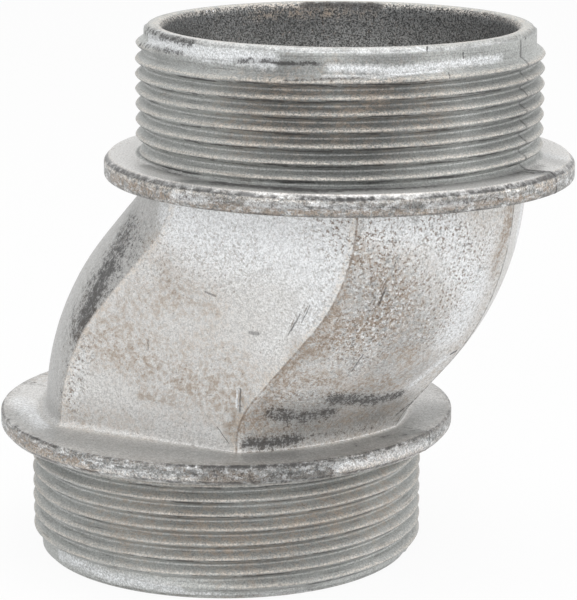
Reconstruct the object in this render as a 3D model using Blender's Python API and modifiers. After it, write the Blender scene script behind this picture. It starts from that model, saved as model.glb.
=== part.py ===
# Offset conduit nipple, 2 inch trade size: one zinc die casting.
# Two threaded ends stand on parallel axes, each behind a round flange, and a
# bent body with two flat sides joins the flanges. One passage runs right through.
# Blender 4.5, metres, +Z up. The lower end face lies on z = 0 and the ends are
# offset along X, so the casting looks the same when it is turned half round
# about a line along Y through the middle of its body.

import math

import bmesh
import bpy
from mathutils import Matrix, Vector

# Whole casting
overall_length = 0.0814
axis_offset = 0.01905
segments_per_turn = 48

# Threaded ends: straight pipe thread of 60 degree form, right hand
threads_per_inch = 11.5
inch = 0.0254
thread_major_radius = 0.0298
thread_crest_width = 0.0003
thread_root_width = 0.00035
thread_flank_angle = math.radians(30.0)
thread_fade_turns = 0.17
threaded_end_length = 0.0189
neck_wall = 0.00275

# Each thread's ridge begins at an angle about its own axis, at its lower end.
# The gaps are from the middle of the ridge to the end face and to the flange.
lower_thread_start_angle = math.radians(262.5)
lower_thread_tip_gap = 0.00123
lower_thread_flange_gap = 0.00056
upper_thread_start_angle = math.radians(180.0)
upper_thread_tip_gap = 0.00264
upper_thread_flange_gap = 0.00033

# End faces
tip_taper_length = 0.0013
tip_taper = 0.0004
tip_rounding = 0.0005
mouth_chamfer = 0.0010

# Flanges, and the clear edge of each flat seat outside its thread
flange_overhang = 0.0047
flange_thickness = 0.00315
flange_chamfer = 0.0009
flange_rounding = 0.0005
seat_clearance = 0.0001

# Bent body between the flanges: each side bends away from one flange and then
# runs straight down a slope to the stub that stands on the other. The draft of
# the two die halves brings each side inside a true arc, by this much midway
# from the parting line to the flat.
body_inset = 0.00045
side_draft = 0.0007
body_wall = 0.0025
flat_depth = 0.0045
straight_drop = 0.0103
crook_softness = 0.0030
sides_per_arc = 16
body_levels = 16
passage_levels = 12

# Construction allowances: how far hidden ends reach into what they join, how
# far a cutter reaches past the face it opens, and the gap between the buried
# feet of neighbouring turns
seat_depth = 0.0010
cut_overrun = 0.0020
turn_gap = 0.00006
merge_distance = 0.00001
sharp_angle = math.radians(28.0)
slope_halvings = 50

# Sizes that follow from the ones above
thread_pitch = inch / threads_per_inch
flank_width = (thread_pitch - thread_crest_width - thread_root_width) / 2.0
thread_depth = flank_width / math.tan(thread_flank_angle)
neck_radius = thread_major_radius - thread_depth
bore_radius = neck_radius - neck_wall
flange_radius = thread_major_radius + flange_overhang
flange_fillet = thread_depth + seat_clearance
flange_body_face = threaded_end_length + flange_thickness
body_radius = neck_radius - body_inset
flat_half_width = body_radius - flat_depth
body_height = overall_length - 2.0 * flange_body_face
bend_drop = body_height - straight_drop


def side_slope():
    # The slope at which bend and straight run together carry the side across by
    # the offset of the two ends, found by halving the range that holds it
    low = 0.0
    high = math.pi / 2.0
    for _ in range(slope_halvings):
        slope = (low + high) / 2.0
        across = bend_drop * math.tan(slope / 2.0) + straight_drop * math.tan(slope)
        if across < axis_offset:
            low = slope
        else:
            high = slope
    return low


slope = side_slope()
bend_radius = bend_drop / math.sin(slope)
bend_centre_x = axis_offset / 2.0 + body_radius - bend_radius


def clear_scene():
    for old_object in list(bpy.data.objects):
        bpy.data.objects.remove(old_object, do_unlink=True)


def new_collection(name):
    collection = bpy.data.collections.new(name)
    bpy.context.scene.collection.children.link(collection)
    return collection


def add_object(name, mesh, collection):
    made = bpy.data.objects.new(name, mesh)
    collection.objects.link(made)
    return made


def make_guide(made):
    made.hide_render = True
    made.display_type = "WIRE"
    return made


def evaluated_mesh(made):
    graph = bpy.context.evaluated_depsgraph_get()
    return bpy.data.meshes.new_from_object(made.evaluated_get(graph))


def profile_mesh(name, points, closed=False):
    # A profile in the XZ plane, given as (radius, height) pairs
    mesh = bpy.data.meshes.new(name)
    shape = bmesh.new()
    corners = [shape.verts.new((radius, 0.0, height)) for radius, height in points]
    for first, second in zip(corners, corners[1:]):
        shape.edges.new((first, second))
    if closed:
        shape.edges.new((corners[-1], corners[0]))
    shape.to_mesh(mesh)
    shape.free()
    return mesh


def loft_mesh(name, sections):
    # Closed skin through equal-count sections, listed from the bottom up
    mesh = bpy.data.meshes.new(name)
    shape = bmesh.new()
    rings = [[shape.verts.new(point) for point in section] for section in sections]
    for lower, upper in zip(rings, rings[1:]):
        for index, corner in enumerate(lower):
            after = (index + 1) % len(lower)
            shape.faces.new((corner, lower[after], upper[after], upper[index]))
    shape.faces.new(list(reversed(rings[0])))
    shape.faces.new(rings[-1])
    shape.to_mesh(mesh)
    shape.free()
    return mesh


def ease(share):
    share = min(max(share, 0.0), 1.0)
    return share * share * (3.0 - 2.0 * share)


def soft_max(first, second, softness):
    overlap = max(softness - abs(first - second), 0.0)
    return max(first, second) + overlap * overlap / (4.0 * softness)


def side_reach(across, height, radius, edge, draft):
    # How far the +X side reaches at a place across the flats and a height. The
    # side leaves the upper flange upright, bends, and runs straight down to the
    # stub that stands on the lower flange. The edge is where its flat begins.
    share = abs(across) / edge
    half_chord = math.sqrt(max(radius * radius - across * across, 0.0))
    half_chord -= draft * 4.0 * share * (1.0 - share)
    sweep = bend_radius - body_radius + half_chord
    drop = overall_length - flange_body_face - height
    if drop <= 0.0:
        bent = bend_centre_x + sweep
    elif drop <= sweep * math.sin(slope):
        bent = bend_centre_x + math.sqrt(sweep * sweep - drop * drop)
    else:
        bent = bend_centre_x + sweep / math.cos(slope) - drop * math.tan(slope)
    stub = half_chord - axis_offset / 2.0
    return soft_max(bent, stub, crook_softness)


def body_section(height, radius, arc_half_angle, sides, draft):
    # Two arcs with flats between them: the -X side is the +X side turned half
    # round about the middle of the body
    edge = radius * math.sin(arc_half_angle)
    section = []
    for index in range(sides + 1):
        angle = arc_half_angle * (2.0 * index / sides - 1.0)
        across = radius * math.sin(angle)
        reach = side_reach(across, height, radius, edge, draft)
        section.append((reach, across, height))
    for index in range(sides + 1):
        angle = arc_half_angle * (1.0 - 2.0 * index / sides)
        across = radius * math.sin(angle)
        reach = side_reach(across, overall_length - height, radius, edge, draft)
        section.append((-reach, across, height))
    return section


def make_body(collection):
    # Its two ends are sunk into the flanges, past a level at each flange's face
    heights = [flange_body_face - seat_depth]
    for index in range(body_levels + 1):
        heights.append(flange_body_face + body_height * index / body_levels)
    heights.append(overall_length - heights[0])
    half_angle = math.asin(flat_half_width / body_radius)
    sections = []
    for height in heights:
        sections.append(body_section(height, body_radius, half_angle, sides_per_arc, side_draft))
    return add_object("nipple_casting", loft_mesh("bent_body", sections), collection)


def make_passage(collection):
    # Round in the threaded ends, flat-sided through the body, one wall inside
    # the outside all the way; the change of form lies inside the flanges
    sides = segments_per_turn // 2 - 1
    round_angle = math.pi / 2.0 * sides / (sides + 1)
    inner_radius = body_radius - body_wall
    flat_angle = math.asin((flat_half_width - body_wall) / inner_radius)
    change_start = flange_body_face
    change_end = threaded_end_length + flange_thickness / 3.0

    def half_heights():
        # From the lower mouth to the middle of the body
        depths = [-cut_overrun, mouth_chamfer, change_end]
        depths.append((change_end + change_start) / 2.0)
        half = overall_length / 2.0 - change_start
        steps = passage_levels // 2
        depths += [change_start + half * index / steps for index in range(steps + 1)]
        return depths

    def section_at(depth, height):
        change = ease((depth - change_end) / (change_start - change_end))
        flare = max(mouth_chamfer - depth, 0.0)
        radius = bore_radius + flare + (inner_radius - bore_radius) * change
        half_angle = round_angle + (flat_angle - round_angle) * change
        return body_section(height, radius, half_angle, sides, side_draft * change)

    lower = [section_at(depth, depth) for depth in half_heights()]
    upper = [section_at(depth, overall_length - depth) for depth in half_heights()[:-1]]
    sections = lower + upper[::-1]
    made = add_object("passage", loft_mesh("passage", sections), collection)
    return make_guide(made)


def end_profile():
    # Half section of one end, from the middle of its end face down its outer
    # side to the middle of the flange's inner face; heights are negative depths
    tip_radius = neck_radius - tip_taper
    rounding = tip_rounding
    points = [(0.0, 0.0), (tip_radius - rounding, 0.0)]
    points.append((tip_radius - rounding * 0.3, -rounding * 0.3))
    points.append((tip_radius, -rounding))
    points.append((neck_radius, -tip_taper_length - rounding))
    points.append((neck_radius, flange_fillet - threaded_end_length))
    points.append((neck_radius + flange_fillet * 0.3, flange_fillet * 0.3 - threaded_end_length))
    points.append((neck_radius + flange_fillet, -threaded_end_length))
    points.append((flange_radius - flange_chamfer, -threaded_end_length))
    points.append((flange_radius, -threaded_end_length - flange_chamfer))
    points.append((flange_radius, flange_rounding - flange_body_face))
    points.append((flange_radius - flange_rounding, -flange_body_face))
    points.append((0.0, -flange_body_face))
    return points


def make_end(name, placing, collection):
    turned = add_object(name + "_profile", profile_mesh(name, end_profile()), collection)
    screw = turned.modifiers.new("Turn", "SCREW")
    screw.axis = "Z"
    screw.steps = segments_per_turn
    screw.render_steps = segments_per_turn
    screw.use_merge_vertices = True
    screw.merge_threshold = merge_distance
    mesh = evaluated_mesh(turned)
    bpy.data.objects.remove(turned, do_unlink=True)
    mesh.transform(placing)
    return make_guide(add_object(name, mesh, collection))


def thread_profile():
    # A ridge whose flanks run on down into the neck, until its foot nearly
    # reaches the next turn's
    half_crest = thread_crest_width / 2.0
    half_foot = (thread_pitch - turn_gap) / 2.0
    foot_radius = thread_major_radius - (half_foot - half_crest) / math.tan(thread_flank_angle)
    return [
        (foot_radius, half_foot),
        (thread_major_radius, half_crest),
        (thread_major_radius, -half_crest),
        (foot_radius, -half_foot),
    ]


def make_thread(name, axis_x, start_angle, start_height, end_height, collection):
    # The ridge climbs counter-clockwise seen from above and sinks into the neck
    # over a part of a turn at both of its ends
    profile = thread_profile()
    steps = round((end_height - start_height) / thread_pitch * segments_per_turn)
    step_angle = 2.0 * math.pi / segments_per_turn
    start_angle = round(start_angle / step_angle) * step_angle
    coil = add_object(name + "_profile", profile_mesh(name, profile, closed=True), collection)
    screw = coil.modifiers.new("Thread", "SCREW")
    screw.axis = "Z"
    screw.angle = -steps * step_angle
    screw.screw_offset = thread_pitch * steps / segments_per_turn
    screw.steps = steps
    screw.render_steps = steps
    mesh = evaluated_mesh(coil)
    bpy.data.objects.remove(coil, do_unlink=True)

    shape = bmesh.new()
    shape.from_mesh(mesh)
    shape.verts.ensure_lookup_table()
    fade_steps = thread_fade_turns * segments_per_turn
    foot_radius = profile[0][0]
    buried_share = 0.5 * (neck_radius - foot_radius) / (thread_major_radius - foot_radius)
    for corner in shape.verts:
        step = corner.index // len(profile)
        from_end = min(step, steps - step)
        share = buried_share + (1.0 - buried_share) * ease(from_end / fade_steps)
        radius = math.hypot(corner.co.x, corner.co.y)
        shrink = (foot_radius + (radius - foot_radius) * share) / radius
        corner.co.x *= shrink
        corner.co.y *= shrink
    open_edges = [edge for edge in shape.edges if edge.is_boundary]
    bmesh.ops.holes_fill(shape, edges=open_edges, sides=len(profile))
    bmesh.ops.recalc_face_normals(shape, faces=shape.faces)
    shape.to_mesh(mesh)
    shape.free()
    place = Matrix.Translation(Vector((axis_x, 0.0, start_height)))
    mesh.transform(place @ Matrix.Rotation(start_angle, 4, "Z"))
    return make_guide(add_object(name, mesh, collection))


def casting_material():
    material = bpy.data.materials.new("zinc_casting")
    material.use_nodes = True
    shader = material.node_tree.nodes["Principled BSDF"]
    shader.inputs["Base Color"].default_value = (0.36, 0.35, 0.33, 1.0)
    shader.inputs["Metallic"].default_value = 0.75
    shader.inputs["Roughness"].default_value = 0.5
    return material


def join_and_cut(casting, additions, cutter):
    for addition in additions:
        union = casting.modifiers.new("Add " + addition.name, "BOOLEAN")
        union.operation = "UNION"
        union.solver = "EXACT"
        union.object = addition
    opening = casting.modifiers.new("Open passage", "BOOLEAN")
    opening.operation = "DIFFERENCE"
    opening.solver = "EXACT"
    opening.object = cutter
    weld = casting.modifiers.new("Weld seams", "WELD")
    weld.merge_threshold = merge_distance
    casting.data = evaluated_mesh(casting)
    casting.modifiers.clear()


def main():
    clear_scene()
    casting_parts = new_collection("offset_conduit_nipple")
    cutters = new_collection("cutters")

    half_offset = axis_offset / 2.0
    upper_place = Matrix.Translation(Vector((half_offset, 0.0, overall_length)))
    lower_place = Matrix.Translation(Vector((-half_offset, 0.0, 0.0))) @ Matrix.Rotation(math.pi, 4, "Y")

    casting = make_body(casting_parts)
    lower_thread_end = threaded_end_length - lower_thread_flange_gap
    upper_thread_start = overall_length - threaded_end_length + upper_thread_flange_gap
    additions = [
        make_end("upper_end", upper_place, cutters),
        make_end("lower_end", lower_place, cutters),
        make_thread(
            "upper_thread", half_offset, upper_thread_start_angle,
            upper_thread_start, overall_length - upper_thread_tip_gap, cutters,
        ),
        make_thread(
            "lower_thread", -half_offset, lower_thread_start_angle,
            lower_thread_tip_gap, lower_thread_end, cutters,
        ),
    ]
    join_and_cut(casting, additions, make_passage(cutters))
    casting.data.name = "nipple_casting"
    casting.data.materials.clear()
    casting.data.materials.append(casting_material())
    casting.data.shade_smooth()
    casting.data.set_sharp_from_angle(angle=sharp_angle)


main()
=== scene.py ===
import math
import bmesh
import bpy
import numpy as np
from mathutils import Matrix, Vector, noise
from mathutils.bvhtree import BVHTree


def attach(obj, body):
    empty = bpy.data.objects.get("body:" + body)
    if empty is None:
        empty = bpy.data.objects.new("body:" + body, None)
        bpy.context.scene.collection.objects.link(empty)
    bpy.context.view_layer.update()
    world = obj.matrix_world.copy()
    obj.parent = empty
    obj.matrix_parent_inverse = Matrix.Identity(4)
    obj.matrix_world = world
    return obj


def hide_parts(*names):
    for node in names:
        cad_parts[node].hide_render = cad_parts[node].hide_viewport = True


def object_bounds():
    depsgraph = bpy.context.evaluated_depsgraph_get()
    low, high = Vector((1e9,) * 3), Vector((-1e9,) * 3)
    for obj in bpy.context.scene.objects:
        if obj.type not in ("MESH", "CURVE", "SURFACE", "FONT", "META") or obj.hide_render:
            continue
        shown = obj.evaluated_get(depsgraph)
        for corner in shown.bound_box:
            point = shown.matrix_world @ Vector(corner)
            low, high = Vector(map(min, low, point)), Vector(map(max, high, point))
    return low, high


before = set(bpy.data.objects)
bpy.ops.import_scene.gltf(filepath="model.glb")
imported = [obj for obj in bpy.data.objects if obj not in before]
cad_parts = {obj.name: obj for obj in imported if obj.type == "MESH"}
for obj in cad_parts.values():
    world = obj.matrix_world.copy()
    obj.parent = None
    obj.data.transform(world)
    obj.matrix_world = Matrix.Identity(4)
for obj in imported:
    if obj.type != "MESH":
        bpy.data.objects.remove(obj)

mm = 0.001  # lengths below are in millimetres, and points become metres when the mesh is made
cadLow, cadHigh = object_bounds()

photo = {  # the picture's frame and the camera that took it
    "width": 577,
    "height": 600,
    "azimuth": 28.3,
    "elevation": 13.09,
    "distance": 393.8,
    "focalPixels": 2622.0,
    "roll": 0.184,
    "aimRight": 1.046,
    "aimUp": 39.08,
}

casting = {
    "flashHeight": 0.10,  # the thin raised line where the die's halves met
    "endLength": 18.9,
    "flangeThickness": 3.15,
    "flangeChamfer": 0.9,
    "flangeRounding": 0.45,
    "bodyFillet": 0.9,
    "flatEdgeSpread": 1.7,  # degrees to each side of a flat's edge that are rounded
    "neckRadius": 28.45,
    "boreRadius": 25.7,
    "tipTaper": 0.35,
    "tipTaperLength": 0.9,
    "tipRounding": 0.6,
    "mouthRounding": 1.0,
    "bodyRadius": 28.0,
    "bodyWall": 2.5,
    "flatDepth": 4.5,
    "draft": 0.7,
    "straightDrop": 10.3,
    "crookSoftness": 3.0,
    "bodyLevels": 60,
    "passageLevels": 26,
    "flatEdgeShine": 0.75,
    "footShine": 0.35,
    "darkFrom": 2.0,  # the passage's painted shade, darkest near its mouth, fades from this depth over the next length
    "darkOver": 12.0,
}

thread = {
    "pitch": 25.4 / 11.5,
    "majorRadius": 29.78,
    "crestWidth": 0.36,
    "rootWidth": 0.26,
    "crestRounding": 0.20,
    "rootRounding": 0.05,
    "fadeTurns": 0.17,
    "ripple": 0.045,
    "lowerStart": 262.5,  # degrees round the axis at which its lowest ridge begins
    "upperStart": 180.0,
    "lowerGaps": (1.87, 0.5),  # plain lengths beside the tip and beside the flange
    "upperGaps": (2.49, 0.45),
    "crestMiddle": 0.06,  # where the finish marks a ridge, in pitches from its middle
    "crestReach": 0.14,
    "rootReach": 0.09,
    # painted shade under each crest lies between these two
    "underFrom": -0.30,
    "underTo": -0.05,
    "rowGap": 0.045,  # from a corner of the ridge to the next row, in pitches
    "clampGap": 0.01,
    "rootGap": 0.12,
}

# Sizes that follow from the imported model's box and from the ones above
length = (cadHigh.z - cadLow.z) / mm
flangeRadius = (cadHigh.y - cadLow.y) / 2 / mm - casting["flashHeight"]
offset = (cadHigh.x - cadLow.x - cadHigh.y + cadLow.y) / mm
halfOffset = offset / 2
bodyFace = casting["endLength"] + casting["flangeThickness"]
bodyRadius = casting["bodyRadius"]
flatHalf = bodyRadius - casting["flatDepth"]
bendDrop = length - 2 * bodyFace - casting["straightDrop"]
seatRadius = thread["majorRadius"] + thread["rootGap"]


def ease(share):
    share = np.clip(share, 0.0, 1.0)
    return share * share * (3.0 - 2.0 * share)


def softMax(first, second, softness):
    overlap = np.maximum(softness - np.abs(first - second), 0.0)
    return np.maximum(first, second) + overlap * overlap / (4.0 * softness)


def findSlope():  # the slope that carries the body's side across by the offset
    low, high = 0.0, math.pi / 2
    for _ in range(50):
        middle = (low + high) / 2
        across = bendDrop * math.tan(middle / 2) + casting["straightDrop"] * math.tan(middle)
        low, high = (middle, high) if across < offset else (low, middle)
    return low


slope = findSlope()
bendRadius = bendDrop / math.sin(slope)
bendCentre = halfOffset + bodyRadius - bendRadius
flatAngle = math.asin(flatHalf / bodyRadius)


# Columns round the casting, in degrees. They crowd at the parting lines and at the flats' edges.
def makeColumns():
    edge = math.degrees(flatAngle)
    quarter = [0.0, 0.3, 0.6, 0.95, 1.4]
    quarter += list(np.linspace(2.2, edge - 2.4, 32))
    quarter += [edge - 1.6, edge - 0.8, edge, edge + 0.8, edge + 1.6]
    quarter += list(np.linspace(edge + 2.6, 90.0, 22))
    half = quarter + [180.0 - angle for angle in quarter[-2::-1]]
    whole = half + [360.0 - angle for angle in half[-2:0:-1]]
    return np.radians(np.array(whole))


columns = makeColumns()
columnCount = len(columns)
signed = (columns + math.pi) % (2 * math.pi) - math.pi
onRight = np.abs(signed) <= flatAngle + 1e-9
onLeft = np.abs(signed) >= math.pi - flatAngle - 1e-9
onFlat = ~(onRight | onLeft)
fromEdge = np.abs(np.abs(np.abs(signed) - math.pi / 2) - (math.pi / 2 - flatAngle))
nearEdge = fromEdge < math.radians(casting["flatEdgeSpread"])
bodyShares = {
    "flat": [float(value) for value in onFlat],
    "side": [float(not value) for value in onFlat],
    "brightEdge": [casting["flatEdgeShine"] * (near and flat) for near, flat in zip(nearEdge, onFlat)],
}


def sideReach(across, height, radius, halfAcross, draft):  # how far the +X side reaches
    share = np.minimum(np.abs(across) / halfAcross, 1.0)
    halfChord = np.sqrt(np.maximum(radius * radius - across * across, 0.0))
    halfChord = halfChord - draft * 4.0 * share * (1.0 - share)
    sweep = bendRadius - bodyRadius + halfChord
    drop = length - bodyFace - height
    curved = bendCentre + np.sqrt(np.maximum(sweep * sweep - max(drop, 0.0) ** 2, 0.0))
    straight = bendCentre + sweep / math.cos(slope) - drop * math.tan(slope)
    bent = np.where(drop <= sweep * math.sin(slope), curved, straight)
    return softMax(bent, halfChord - halfOffset, casting["crookSoftness"])


def bodyLevel(height, radius, halfAcross, grow=0.0, draft=casting["draft"]):
    limit = math.asin(min(halfAcross / radius, 1.0))
    arcAngle = np.where(onRight, signed, np.sign(signed) * (math.pi - np.abs(signed)))
    across = radius * np.sin(np.clip(arcAngle * limit / flatAngle, -limit, limit))
    right = sideReach(across, height, radius, halfAcross, draft)
    left = -sideReach(across, length - height, radius, halfAcross, draft)
    edgeRight = sideReach(np.array(halfAcross), height, radius, halfAcross, draft)
    edgeLeft = -sideReach(np.array(halfAcross), length - height, radius, halfAcross, draft)
    share = (1 - np.tan(math.pi / 2 - np.abs(signed)) * math.tan(flatAngle)) / 2
    x = np.where(onFlat, edgeRight + (edgeLeft - edgeRight) * share, np.where(onRight, right, left))
    y = np.where(onFlat, np.sign(signed) * halfAcross, across)
    level = np.stack([x, y, np.full(columnCount, height)], axis=1)
    for _ in range(2):  # rounds the edges of the flats
        smooth = (np.roll(level, 1, 0) + 2 * level + np.roll(level, -1, 0)) / 4
        level = np.where(nearEdge[:, None], smooth, level)
    ahead = np.roll(level, -1, 0) - np.roll(level, 1, 0)
    outward = np.stack([ahead[:, 1], -ahead[:, 0]], axis=1)
    outward /= np.linalg.norm(outward, axis=1)[:, None]
    level[:, :2] += outward * np.reshape(grow, (-1, 1))
    return level


def ringLevel(axisX, radius, height):
    x = axisX + radius * np.cos(columns)
    return np.stack([x, radius * np.sin(columns), np.full(columnCount, height)], axis=1)


points = []
faces = []
markNames = ["zone", "crest", "root", "under", "dirtyEdge", "brightEdge", "edgeBand"]
markNames += ["flat", "side", "inside", "deep"]
marks = {name: [] for name in markNames}
zones = {"rim": 0, "thread": 1, "flange": 2, "body": 3, "bore": 4}


def addPoints(level, zone, **shares):
    first = len(points)
    points.extend([tuple(point) for point in level])
    for name, values in marks.items():
        share = zones[zone] if name == "zone" else shares.get(name, 0.0)
        values.extend(share if isinstance(share, list) else [share] * len(level))
    return list(range(first, len(points)))


def addFace(corners):
    kept = [corner for index, corner in enumerate(corners) if corner != corners[index - 1]]
    if len(set(kept)) >= 3:
        faces.append(kept)


def joinRings(rings, downward=False):
    for first, second in zip(rings, rings[1:]):
        lower, upper = (second, first) if downward else (first, second)
        for index in range(columnCount):
            after = (index + 1) % columnCount
            addFace((lower[index], lower[after], upper[after], upper[index]))


def ridgeShare(phase):  # height of the thread's ridge, by place within one pitch
    pitch = thread["pitch"]
    flat = thread["crestWidth"] / 2 / pitch
    foot = 0.5 - thread["rootWidth"] / 2 / pitch
    rise = foot - flat
    low = softMax((foot - abs(phase)) / rise, 0.0, thread["rootRounding"] / pitch / rise * 2)
    return 1.0 - softMax(1.0 - low, 0.0, thread["crestRounding"] / pitch / rise * 2)


def endRadius(depth):  # the end without its thread, by depth from its face
    neck = casting["neckRadius"]
    fillet = seatRadius - neck
    near = min(max((depth - casting["endLength"] + fillet) / fillet, 0.0), 1.0)
    taper = min(max(1.0 - (depth - casting["tipRounding"]) / casting["tipTaperLength"], 0.0), 1.0)
    return neck - casting["tipTaper"] * taper, neck + fillet * (1.0 - math.sqrt(1.0 - near * near))


# A helical sheet whose rows follow the ridge round, clamped to a flat ring at each end
def threadSheet(axisX, start, startHeight, endHeight, lowRing, lowHeight, highRing, highHeight, depthOf):
    pitch = thread["pitch"]
    foot = 0.5 - thread["rootWidth"] / 2 / pitch
    crest = thread["crestWidth"] / 2 / pitch
    middle = (foot + crest) / 2
    gap = thread["rowGap"]
    phases = [-0.5, -foot, -foot + gap, -middle, -crest - gap, -crest]
    phases += [0.0, crest, crest + gap, middle, foot - gap, foot]
    rows = len(phases)
    startAngle = columns[np.argmin(np.abs(columns - math.radians(start)))]
    below = math.ceil((startHeight - lowHeight) / pitch) + 2
    turns = below + math.ceil((highHeight - startHeight) / pitch) + 3
    fullTurns = (endHeight - startHeight) / pitch
    order = sorted(range(columnCount), key=lambda column: (columns[column] - startAngle) % (2 * math.pi))
    ids = {}
    for column in order:
        angle = columns[column]
        turned = (angle - startAngle) % (2 * math.pi) / (2 * math.pi)
        for turn in range(turns):
            travelled = turn - below + turned
            fade = ease(min(travelled, fullTurns - travelled) / thread["fadeTurns"])
            for row, phase in enumerate(phases):
                height = startHeight + pitch * (travelled + phase)
                key = (turn * rows + row, column)
                if height <= lowHeight + thread["clampGap"]:
                    ids[key] = lowRing[column]
                    continue
                if height >= highHeight - thread["clampGap"]:
                    ids[key] = highRing[column]
                    continue
                share = ridgeShare(phase)
                tapered, filleted = endRadius(depthOf(height))
                where = Vector((math.cos(angle) * 4.5, math.sin(angle) * 4.5, travelled * 2.7 + axisX))
                wobble = noise.noise(where) + 0.5 * noise.noise(where * 3.1)
                calm = min(height - lowHeight, highHeight - height, 1.0)
                lift = (thread["majorRadius"] - casting["neckRadius"]) * share * fade
                radius = max(filleted, tapered + lift) + thread["ripple"] * wobble * calm * (0.3 + share)
                sideways = thread["ripple"] * 0.8 * noise.noise(where * 0.8 + Vector((7.1, 0.0, 0.0))) * calm
                place = (axisX + radius * math.cos(angle), radius * math.sin(angle), height + sideways)
                fromCrest = abs(phase - thread["crestMiddle"]) / thread["crestReach"]
                ids[key] = addPoints(
                    [place], "thread",
                    crest=fade * max(1.0 - fromCrest ** 2, 0.0),
                    root=fade * max(1.0 - (0.5 - abs(phase)) / thread["rootReach"], 0.0),
                    under=fade * (1.0 if thread["underFrom"] < phase < thread["underTo"] else 0.0),
                )[0]
    for position, column in enumerate(order):
        after = order[(position + 1) % columnCount]
        step = rows if position == columnCount - 1 else 0
        for row in range(turns * rows - 1):
            nearLow = ids[(row, column)]
            nearHigh = ids[(row + 1, column)]
            farLow = ids.get((row + step, after), highRing[after])
            farHigh = ids.get((row + 1 + step, after), highRing[after])
            addFace((nearLow, farLow, farHigh, nearHigh))


def arcSteps(count):
    return [math.pi / 2 * step / count for step in range(count + 1)]


# One end's plain rings, listed from the bore out over the rim, as (radius, depth, dirt, shine)
def rimRings():
    bore = casting["boreRadius"]
    inner = casting["mouthRounding"]
    outer = casting["tipRounding"]
    tip = casting["neckRadius"] - casting["tipTaper"]
    rings = [(bore, inner + 0.8, 0.0, 0.0)]
    for angle in arcSteps(4):
        radius = bore + inner - inner * math.cos(angle)
        rings.append((radius, inner - inner * math.sin(angle), 0.0, math.sin(angle)))
    for angle in arcSteps(4):
        radius = tip - outer + outer * math.sin(angle)
        rings.append((radius, outer - outer * math.cos(angle), 0.5 * math.sin(angle), 0.4 * math.cos(angle)))
    return rings


# The flange's rings from the seat round its edge to the body's side, listed in the same way
def flangeRings():
    chamfer = casting["flangeChamfer"]
    rounding = casting["flangeRounding"]
    seat = casting["endLength"]
    inside = flangeRadius - chamfer
    faceWidth = inside - 0.15 - seatRadius
    rings = [(seatRadius + faceWidth * share, seat, 0.0, 0.0) for share in (0.0, 0.25, 0.5, 0.75, 1.0)]
    rings += [(inside + 0.12, seat + 0.05, 0.1, 0.65), (inside + 0.3, seat + 0.25, 0.9, 0.0)]
    edge = seat + chamfer
    rings += [(flangeRadius - 0.22, edge - 0.25, 1.0, 0.0), (flangeRadius - 0.05, edge - 0.02, 0.3, 0.9)]
    rings += [(flangeRadius, edge + 0.2, 0.0, 0.6), (flangeRadius, edge + 0.8, 0.0, 0.0)]
    rings += [(flangeRadius, bodyFace - rounding - 0.5, 0.1, 0.0)]
    for angle in arcSteps(4):
        radius = flangeRadius - rounding + rounding * math.cos(angle)
        depth = bodyFace - rounding + rounding * math.sin(angle)
        rings.append((radius, depth, 0.4 + 0.6 * math.sin(2 * angle), 0.3))
    return rings


def addRing(ring, axisX, place, zone):
    radius, depth, dirt, shine = ring
    onBand = 1.0 if radius > flangeRadius - 0.3 else 0.0
    inside = 1.0 if radius < casting["boreRadius"] + 0.5 else 0.0
    level = ringLevel(axisX, radius, place(depth))
    return addPoints(level, zone, dirtyEdge=dirt, brightEdge=shine, edgeBand=onBand, inside=inside)


def filletRadii(upper):  # the fillet round the body's foot: none where the side overhangs
    facing = np.cos(columns) * (-1.0 if upper else 1.0)
    return casting["bodyFillet"] * (0.25 + 0.75 * np.clip(0.5 - facing * 1.6, 0.0, 1.0))


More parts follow.
